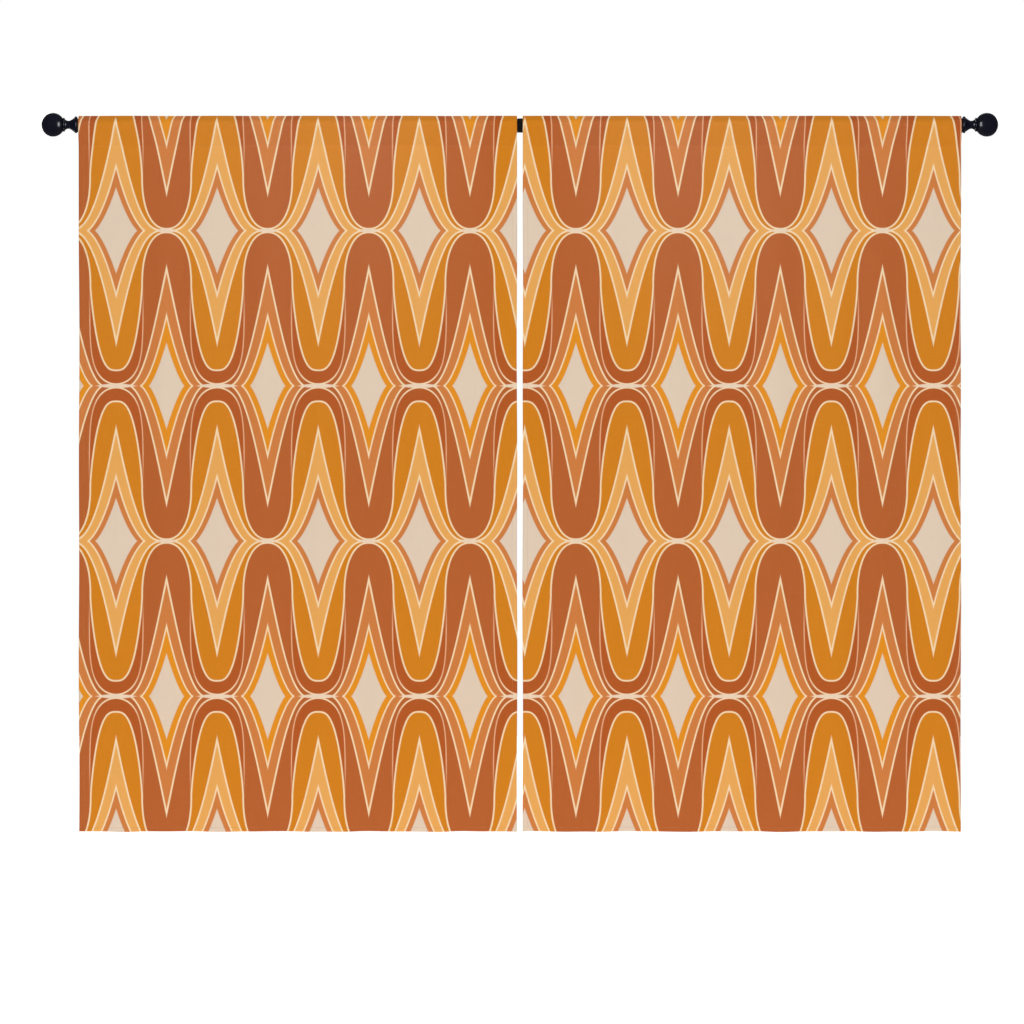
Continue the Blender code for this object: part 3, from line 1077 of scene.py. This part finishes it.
# ---------------------------------------------------------------- the curtains
@dataclass
class Panel:
    """One curtain: a sheet of printed cloth, folded over the rod and sewn, with its hems and stitches."""

    side: Side
    finishes: Finishes
    lattice: Lattice
    flat_width: float
    ripple_length: float
    ripple_depth: float = 0.0045
    cloth: float = 0.0008
    hem_cloth: float = 0.0011
    hem_back: float = 0.0013
    hem_gap: float = 0.0015
    hem_to_cloth: float = 0.0008
    pocket_edge: float = 0.001
    pocket_gap: float = 0.0011
    edge_sway: float = 0.0007
    edge_reach: float = 0.16
    foot_sway: float = 0.0009
    groove_depth: float = 0.00022
    groove_reach: float = 0.0016
    side_stitch: float = 0.0148
    bottom_stitch: float = 0.0126
    column_spacing: float = 0.011
    row_spacing: float = 0.0125
    fold_round: float = 0.0016
    seat: float = 0.0199
    pocket_lap: float = 0.0040
    stitch_pitch: float = 0.0034
    stitch_fill: float = 0.86
    stitch_width: float = 0.0006
    stitch_height: float = 0.00075
    kept_share: float = field(init=False)
    face: bpy.types.Material = field(init=False)
    reverse: bpy.types.Material = field(init=False)

    def __post_init__(self) -> None:
        """Read the panel's places from the frame and make its cloth."""
        label = self.side.label
        low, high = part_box(f"{label}_panel_cloth")
        edges = sorted((abs(low[0]), abs(high[0])))
        self.leading, self.outer = edges
        self.width = self.outer - self.leading
        self.left_x = low[0]
        self.top, self.bottom = high[2], low[2]
        self.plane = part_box(f"{label}_outer_hem")[0][1] - self.hem_to_cloth
        self.stitch_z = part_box(f"{label}_pocket_back")[0][2] + self.pocket_edge
        self.hem_width = extent(f"{label}_outer_hem").x
        self.hem_depth = extent(f"{label}_bottom_hem").z
        self.lean = math.asin(self.seat / -self.stitch_z)
        self.crown = math.asin(self.seat / self.top)
        self.crown_run = math.sqrt(self.top ** 2 - self.seat ** 2)
        self.wrap_run = self.seat * (math.pi - (math.pi / 2 - self.lean) - (math.pi / 2 - self.crown))
        self.skirt_run = math.sqrt(self.stitch_z ** 2 - self.seat ** 2)
        self.pocket_run = self.crown_run + self.wrap_run + self.skirt_run
        self.drop = self.stitch_z - self.bottom
        travel = next(j for j in FRAME["joints"] if j["name"] == f"{label}_panel_draw")["range_m"][1]
        self.kept_share = (self.width - travel) / self.width
        self.face = PrintedCloth(f"{label}_printed_cloth", self.lattice).made()
        self.reverse = PrintedCloth(f"{label}_cloth_reverse", self.lattice, show_through=0.45).made()

    # ---- where the cloth lies
    def pocket_point(self, run: float) -> tuple[float, float]:
        """The cloth's cross-section on the room side of the pocket.

        Args:
            run: Cloth from the top fold down to the point.

        Returns:
            The distance in front of the rod's axis plane, and the height.
        """
        if run < self.crown_run:
            eased = math.hypot(run, self.fold_round) - self.fold_round * (1 - run / self.crown_run)
            return eased * math.sin(self.crown), self.top - 0.0004 - eased * math.cos(self.crown)
        if run < self.crown_run + self.wrap_run:
            angle = self.crown - (run - self.crown_run) / self.seat
            return self.seat * math.cos(angle), self.seat * math.sin(angle)
        left = self.pocket_run - run
        return left * math.sin(self.lean), self.stitch_z + left * math.cos(self.lean)

    def ripple(self, across: float, below: float) -> float:
        """How far the hanging cloth swells out of its plane.

        Args:
            across: Distance from the panel's leading edge.
            below: Distance below the pocket's stitch line.

        Returns:
            The distance towards the wall.
        """
        edge = min(across, self.width - across)
        held = smooth_step((edge - 0.048) / 0.10) * smooth_step(below / 0.45)
        turn = 2 * math.pi / self.ripple_length
        drift = 0.9 * math.sin(below * 1.1 + self.side.value)
        wave = 0.72 * math.sin(across * turn + drift)
        wave += 0.28 * math.sin(across * turn * 1.63 - drift * 1.4 + 2.1 * self.side.value)
        return self.ripple_depth * held * wave

    def edge_wander(self, across: float, below: float) -> float:
        """How far the two side edges wander off a straight line, away from the panel's middle or to it."""
        hang = smooth_step((below - 0.05) / 0.4)
        wave = math.sin(below * 9.7 + self.side.value) + 0.6 * math.sin(below * 4.3 + 2.0)
        leading = self.edge_sway * wave * (1 - smooth_step(across / self.edge_reach))
        from_outer = (self.width - across) / self.edge_reach
        outer = self.edge_sway * (wave - 1.6) * (1 - smooth_step(from_outer))
        return hang * (outer - leading)

    def bottom_wander(self, across: float, below: float) -> float:
        """How far the bottom edge rises and falls."""
        near = smooth_step(1 - (self.drop - below) / 0.25)
        wave = math.sin(across * 21.0 + self.side.value) + 0.5 * math.sin(across * 47.0)
        return self.foot_sway * near * (wave + 0.4)

    def groove(self, across: float, below: float) -> float:
        """How deep a line of stitches pulls the cloth in."""
        depth = 0.0
        for gap in (self.drop - below - self.bottom_stitch, across - self.side_stitch,
                    self.width - across - self.side_stitch):
            depth = max(depth, 1 - abs(gap) / self.groove_reach)
        return self.groove_depth * max(depth, 1 - abs(below) / 0.002, 0.0)

    def point(self, across: float, below: float, back: float = 0.0) -> Vector:
        """A point of the hanging cloth.

        Args:
            across: Distance from the leading edge.
            below: Distance below the stitch line.
            back: Distance behind the cloth's middle.

        Returns:
            The point in the frame.
        """
        x = self.leading + across + self.edge_wander(across, below)
        y = self.plane + self.ripple(across, below) + back
        if back <= 0:
            y += self.groove(across, below)
        return Vector((self.side.value * x, y, self.stitch_z - below + self.bottom_wander(across, below)))

    def sheet_point(self, across: float, run: float) -> Vector:
        """A point of the whole sheet.

        Args:
            across: Distance from the leading edge.
            run: Cloth from the top fold, below 0 on the back of the pocket.

        Returns:
            The point in the frame.
        """
        if run > self.pocket_run:
            return self.point(across, run - self.pocket_run)
        out, height = self.pocket_point(abs(run) if run > -self.pocket_run else self.pocket_run)
        lift = 0.0003 * math.sin(across * 23.0) * smooth_step(1 - abs(run) / 0.012)
        x = self.side.value * (self.leading + across)
        if run >= 0:
            return Vector((x, self.plane - out, height + lift))
        lap = self.pocket_gap * smooth_step((abs(run) - self.crown_run - self.wrap_run) / self.skirt_run)
        past = min(0.0, run + self.pocket_run)
        return Vector((x, self.plane + out + lap, height + lift + past))

    # ---- how it is cut
    def columns(self) -> list[float]:
        """The grid's lines across the panel."""
        near = [0.0, 0.004, 0.008, 0.0115, 0.0132, 0.0148, 0.0164, 0.0185, 0.024, 0.032, 0.042]
        return stations(0.0, self.width, self.column_spacing, near + [self.width - place for place in near])

    def hanging_rows(self) -> list[float]:
        """The grid's lines below the stitch line."""
        foot = [0.0, 0.0035, 0.007, 0.010, 0.0112, 0.0126, 0.0140, 0.0155, 0.019, 0.026]
        near = [0.002, 0.004, 0.007] + [self.drop - place for place in foot]
        return stations(0.0, self.drop, self.row_spacing, near)

    def pocket_rows(self) -> list[float]:
        """The grid's lines on one side of the pocket, from the top fold down."""
        near = [0.0006, 0.0013, 0.0022, 0.0035, self.crown_run, self.crown_run + self.wrap_run,
                self.pocket_run - 0.002]
        return stations(0.0, self.pocket_run, 0.0038, near)

    def flat(self, across: float, run: float) -> tuple[float, float]:
        """The same point on the flat cloth, in metres from the panel's left edge and top fold."""
        from_left = across if self.side is Side.RIGHT else self.width - across
        return from_left * self.flat_width / self.width, run

    def gridded(self, columns: Sequence[float], rows: Sequence[float],
                place: Callable[[float, float], Vector], flat: Callable[[float, float], tuple[float, float]],
                ) -> bmesh.types.BMesh:
        """A grid laid on the cloth, with its UV map in metres of flat cloth.

        Args:
            columns: Distances from the leading edge.
            rows: Distances along the cloth, downwards.
            place: Gives the point for a column and a row.
            flat: Gives the flat point for a column and a row.

        Returns:
            The grid, with its faces towards the room where the cloth hangs.
        """
        bm = bmesh.new()
        cloth_map = bm.loops.layers.uv.new("cloth")
        across_count, down_count = len(columns) - 1, len(rows) - 1
        bmesh.ops.create_grid(bm, x_segments=across_count, y_segments=down_count, size=1.0)
        flat_of = {}
        for vert in bm.verts:
            column = columns[round((vert.co.x + 1) / 2 * across_count)]
            row = rows[round((1 - vert.co.y) / 2 * down_count)]
            vert.co = place(column, row)
            flat_of[vert] = flat(column, row)
        for face in bm.faces:
            for loop in face.loops:
                loop[cloth_map].uv = flat_of[loop.vert]
        if self.side is Side.LEFT:
            bmesh.ops.reverse_faces(bm, faces=bm.faces)
        return bm

    # ---- the pieces
    def build(self) -> None:
        label = self.side.label
        sheet = self.sheet()
        bottom = self.bottom_hem()
        outer = self.side_hem("outer", f"{label}_panel")
        leading = self.side_hem("leading", f"{label}_leading_edge")
        seams = self.level_stitches()
        outer_stitches = self.side_stitches("outer", f"{label}_panel")
        leading_stitches = self.side_stitches("leading", f"{label}_leading_edge")
        for soft in (sheet, bottom, seams):
            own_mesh(soft)
        self.drop + 2 * self.pocket_run + self.pocket_lap

    def thicken(self, made: bpy.types.Object, thickness: float) -> None:
        """Give a single layer its thickness, half to each side."""
        solid = made.modifiers.new("thickness", "SOLIDIFY")
        solid.thickness = thickness
        solid.offset = 0.0
        solid.use_even_offset = True
        solid.material_offset = len(made.data.materials) - 1

    def sheet(self) -> bpy.types.Object:
        """The sheet: the hanging front, the top fold and the back of the pocket."""
        label = self.side.label
        pocket = self.pocket_rows()
        rows = [-self.pocket_run - self.pocket_lap, -self.pocket_run - self.pocket_lap / 2]
        rows += [-place for place in reversed(pocket[1:])] + pocket
        rows += [self.pocket_run + place for place in self.hanging_rows()[1:]]
        bm = self.gridded(self.columns(), rows, self.sheet_point, self.flat)
        made = piece(f"{label}_panel_sheet", bm, self.face, self.reverse, sharp_degrees=180)
        self.thicken(made, self.cloth)
        return settle(made, f"{label}_panel", "cloth_face", f"{label}_panel_cloth", f"{label}_pocket_back")

    def bottom_hem(self) -> bpy.types.Object:
        """The turned-up bottom hem, which shows the print on the wall side."""
        label = self.side.label
        low = self.drop
        rows = [low - above
                for above in (self.hem_depth, 0.0132, self.bottom_stitch, 0.010, 0.005, 0.001, 0.0)]
        bm = self.gridded(self.columns(), rows, lambda a, b: self.point(a, b, self.hem_back),
                          lambda a, b: self.flat(a, self.pocket_run + 2 * low - b))
        made = piece(f"{label}_bottom_hem_folded", bm, self.face, sharp_degrees=180)
        self.thicken(made, self.hem_cloth)
        return settle(made, f"{label}_panel", "cloth_back", f"{label}_bottom_hem")

    def side_hem(self, which: str, body: str) -> bpy.types.Object:
        """A turned-in side hem, from the stitch line to just above the bottom hem."""
        label = self.side.label
        node = f"{label}_{which}_hem"
        low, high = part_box(node)
        rows = stations(self.stitch_z - high[2], self.stitch_z - low[2] - self.hem_gap, self.row_spacing)
        inward = [0.0, 0.0004, 0.002, 0.008, 0.0132, self.side_stitch, self.hem_width - 0.0004,
                  self.hem_width]
        columns = inward if which == "leading" else [self.width - place for place in reversed(inward)]
        edge = 0.0 if which == "leading" else self.width
        bm = self.gridded(columns, rows, lambda a, b: self.point(a, b, self.hem_back),
                          lambda a, b: self.flat(2 * edge - a, self.pocket_run + b))
        made = piece(f"{node}_folded", bm, self.face, sharp_degrees=180)
        self.thicken(made, self.hem_cloth)
        return settle(made, body, "cloth_back", node)

    # ---- the stitches
    def sewn(self, name: str, lines: Sequence[tuple[Callable[[float], Vector], float, float]],
             ) -> bpy.types.Object:
        """Rows of stitches as one piece.

        Args:
            name: The piece's name.
            lines: For each row, the path by distance along it, and where the row starts and ends.

        Returns:
            The piece.
        """
        bead = bmesh.new()
        bmesh.ops.create_uvsphere(bead, u_segments=4, v_segments=3, radius=0.5,
                                  matrix=Matrix.Rotation(math.pi / 2, 4, "Y"))
        size = (self.stitch_pitch * self.stitch_fill, self.stitch_width, self.stitch_height)
        bmesh.ops.scale(bead, vec=size, verts=bead.verts)
        one = bpy.data.meshes.new("stitch")
        bead.to_mesh(one)
        at_rest = [number for vert in bead.verts for number in vert.co]
        bead.free()
        bm = bmesh.new()
        for path, start, end in lines:
            count = int((end - start) / self.stitch_pitch)
            for i in range(count):
                along = start + (i + 0.5) * self.stitch_pitch
                before, after = path(along - 0.001), path(along + 0.001)
                turn = (after - before).to_track_quat("X", "Z").to_matrix().to_4x4()
                turn.translation = (before + after) / 2
                one.vertices.foreach_set("co", at_rest)
                one.transform(turn)
                bm.from_mesh(one)
        bpy.data.meshes.remove(one)
        return piece(name, bm, self.finishes.thread, sharp_degrees=180)

    def level_stitches(self) -> bpy.types.Object:
        """The stitches along the pocket and the bottom hem, on both faces."""
        front, behind = -self.cloth / 2, self.hem_back + self.hem_cloth / 2
        foot = self.drop - self.bottom_stitch
        pocket_behind = self.pocket_gap + self.cloth / 2
        rows = ((0.0004, front), (0.0004, pocket_behind), (foot, front), (foot, behind))
        lines = [(lambda a, b=below, k=back: self.point(a, b, k), 0.002, self.width - 0.002)
                 for below, back in rows]
        made = self.sewn(f"{self.side.label}_pocket_and_hem_stitches", lines)
        return settle(made, f"{self.side.label}_panel", None)

    def side_stitches(self, which: str, body: str) -> bpy.types.Object:
        """The stitches down one side hem, on both faces."""
        across = self.side_stitch if which == "leading" else self.width - self.side_stitch
        lines = [(lambda b, k=back: self.point(across, b, k), 0.004, self.drop - self.hem_depth)
                 for back in (-self.cloth / 2, self.hem_back + self.hem_cloth / 2)]
        return settle(self.sewn(f"{self.side.label}_{which}_stitches", lines), body, None)


# ---------------------------------------------------------------- the studio
@dataclass
class Studio:
    """A plain pale floor, soft lights and the camera."""

    floor_gap: float = 0.055
    camera_distance: float = 12.0
    camera_focal: float = 141.5
    middle_x: float = -0.0236
    middle_z: float = -1.1545
    rod_from_wall: float = 0.089
    white: float = 1.0
    fill: float = 0.12
    floor_glow: float = 0.79
    glint_size: tuple[float, float] = (0.40, 0.72)
    glint_power: float = 22.0

    def build(self, low_z: float) -> None:
        """Set up everything round the object.

        Args:
            low_z: The object's lowest height.
        """
        bpy.context.scene.view_settings.view_transform = "Standard"
        self.floor(low_z - self.floor_gap)
        self.world()
        self.light("key_left", (-4.6, -7.5, 0.6), 3.6, 118)
        self.light("key_right", (4.6, -7.5, 0.2), 3.6, 107)
        self.light("top", (0.0, -3.2, 5.0), 3.0, 190)
        self.glint("glint_left", (-0.30, -0.62, 0.04))
        self.glint("glint_right", (0.30, -0.62, 0.04))
        self.light("behind_left", (-4.0, 6.5, 1.0), 3.5, 200)
        self.light("behind_right", (4.4, 6.0, 0.5), 3.5, 170)
        self.camera()

    def floor(self, height: float) -> None:
        """A pale matt floor that belongs to the stage."""
        bm = bmesh.new()
        bmesh.ops.create_grid(bm, x_segments=24, y_segments=24, size=6.0)
        bmesh.ops.translate(bm, verts=bm.verts, vec=(0, 0, height))
        shade = Shade("pale_floor", 0.8)
        cloud = shade.noise(shade.place(), 2.0, 3.0)
        shade.colour(shade.painted((0.60, 0.60, 0.60, 1), (0.64, 0.64, 0.64, 1), cloud))
        shade.set("Emission Color", (1.0, 1.0, 1.0, 1.0))
        shade.set("Emission Strength", self.floor_glow)
        made = piece("floor", bm, shade.material)
        made.visible_glossy = False
        made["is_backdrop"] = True

    def world(self) -> None:
        """A white surround that lights the object gently."""
        world = bpy.data.worlds.new("white_surround")
        bpy.context.scene.world = world
        world.use_nodes = True
        tree = world.node_tree
        background = tree.nodes["Background"]
        background.inputs["Color"].default_value = (1, 1, 1, 1)
        seen = Field(tree, tree.nodes.new("ShaderNodeLightPath").outputs["Is Camera Ray"])
        tree.links.new((seen * (self.white - self.fill) + self.fill).socket, background.inputs["Strength"])

    def light(self, name: str, place: tuple[float, float, float], size: float, power: float) -> None:
        """A large square light that faces the curtains, hidden from reflections if it stands in front."""
        made = self.lamp(name, place, Vector((self.middle_x, 0, self.middle_z)), (size, size), power)
        made.visible_glossy = place[1] > 0

    def glint(self, name: str, place: tuple[float, float, float]) -> None:
        """An upright strip aimed at the ball on its own side, which gives reflections but no even light."""
        ball = middle("left_finial_ball" if place[0] < 0 else "right_finial_ball")
        made = self.lamp(name, place, ball, self.glint_size, self.glint_power)
        made.visible_diffuse = False

    def lamp(self, name: str, place: tuple[float, float, float], target: Vector, size: tuple[float, float],
             power: float) -> bpy.types.Object:
        """An upright rectangular light.

        Args:
            name: The light's name.
            place: Where it stands.
            target: The point it faces.
            size: Its width and height.
            power: Its power in watts.

        Returns:
            The light's object.
        """
        lamp = bpy.data.lights.new(name, "AREA")
        lamp.shape = "RECTANGLE"
        lamp.size, lamp.size_y = size
        lamp.energy = power
        made = bpy.data.objects.new(name, lamp)
        made.location = place
        made.rotation_euler = (target - Vector(place)).to_track_quat("-Z", "Y").to_euler()
        bpy.context.scene.collection.objects.link(made)
        return made

    def camera(self) -> None:
        """A level camera, square to the curtains."""
        lens = bpy.data.cameras.new("camera")
        lens.lens = self.camera_focal
        lens.clip_end = 100
        made = bpy.data.objects.new("camera", lens)
        made.location = (self.middle_x, -self.camera_distance - self.rod_from_wall, self.middle_z)
        made.rotation_euler = (math.pi / 2, 0, 0)
        bpy.context.scene.collection.objects.link(made)
        bpy.context.scene.camera = made


# ---------------------------------------------------------------- all of it
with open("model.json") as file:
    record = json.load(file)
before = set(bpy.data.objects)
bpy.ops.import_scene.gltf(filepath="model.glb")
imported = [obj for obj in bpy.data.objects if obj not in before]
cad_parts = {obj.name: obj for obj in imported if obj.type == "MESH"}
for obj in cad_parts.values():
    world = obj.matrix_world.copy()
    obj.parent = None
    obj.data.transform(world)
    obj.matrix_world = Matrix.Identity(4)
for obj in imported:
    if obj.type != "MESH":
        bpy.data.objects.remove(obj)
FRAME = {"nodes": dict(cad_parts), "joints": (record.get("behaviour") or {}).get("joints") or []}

CLOTH_WIDTH = 1.3215
LATTICES = {
    Side.LEFT: Lattice(0.3048, 0.4628, 0.1127, 0.3532),
    Side.RIGHT: Lattice(0.3080, 0.4628, 0.0061, 0.3532),
}
RIPPLE_LENGTHS = {Side.LEFT: 0.156, Side.RIGHT: 0.163}


def main() -> None:
    """Build every class in order."""
    logging.basicConfig(level=logging.INFO, format="%(name)s: %(message)s")
    cad_box = [list(corner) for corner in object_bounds()]
    Studio().build(cad_box[0][2])
    finishes = Finishes()
    Rod(finishes).build()
    for side in Side:
        Finial(side, finishes).build()
    WallBracket("left", ("outer", "inner"), finishes).build()
    WallBracket("centre", ("left", "right"), finishes).build()
    WallBracket("right", ("inner", "outer"), finishes).build()
    for side in Side:
        Panel(side, finishes, LATTICES[side], CLOTH_WIDTH, RIPPLE_LENGTHS[side]).build()


if __name__ == "__main__":
    main()
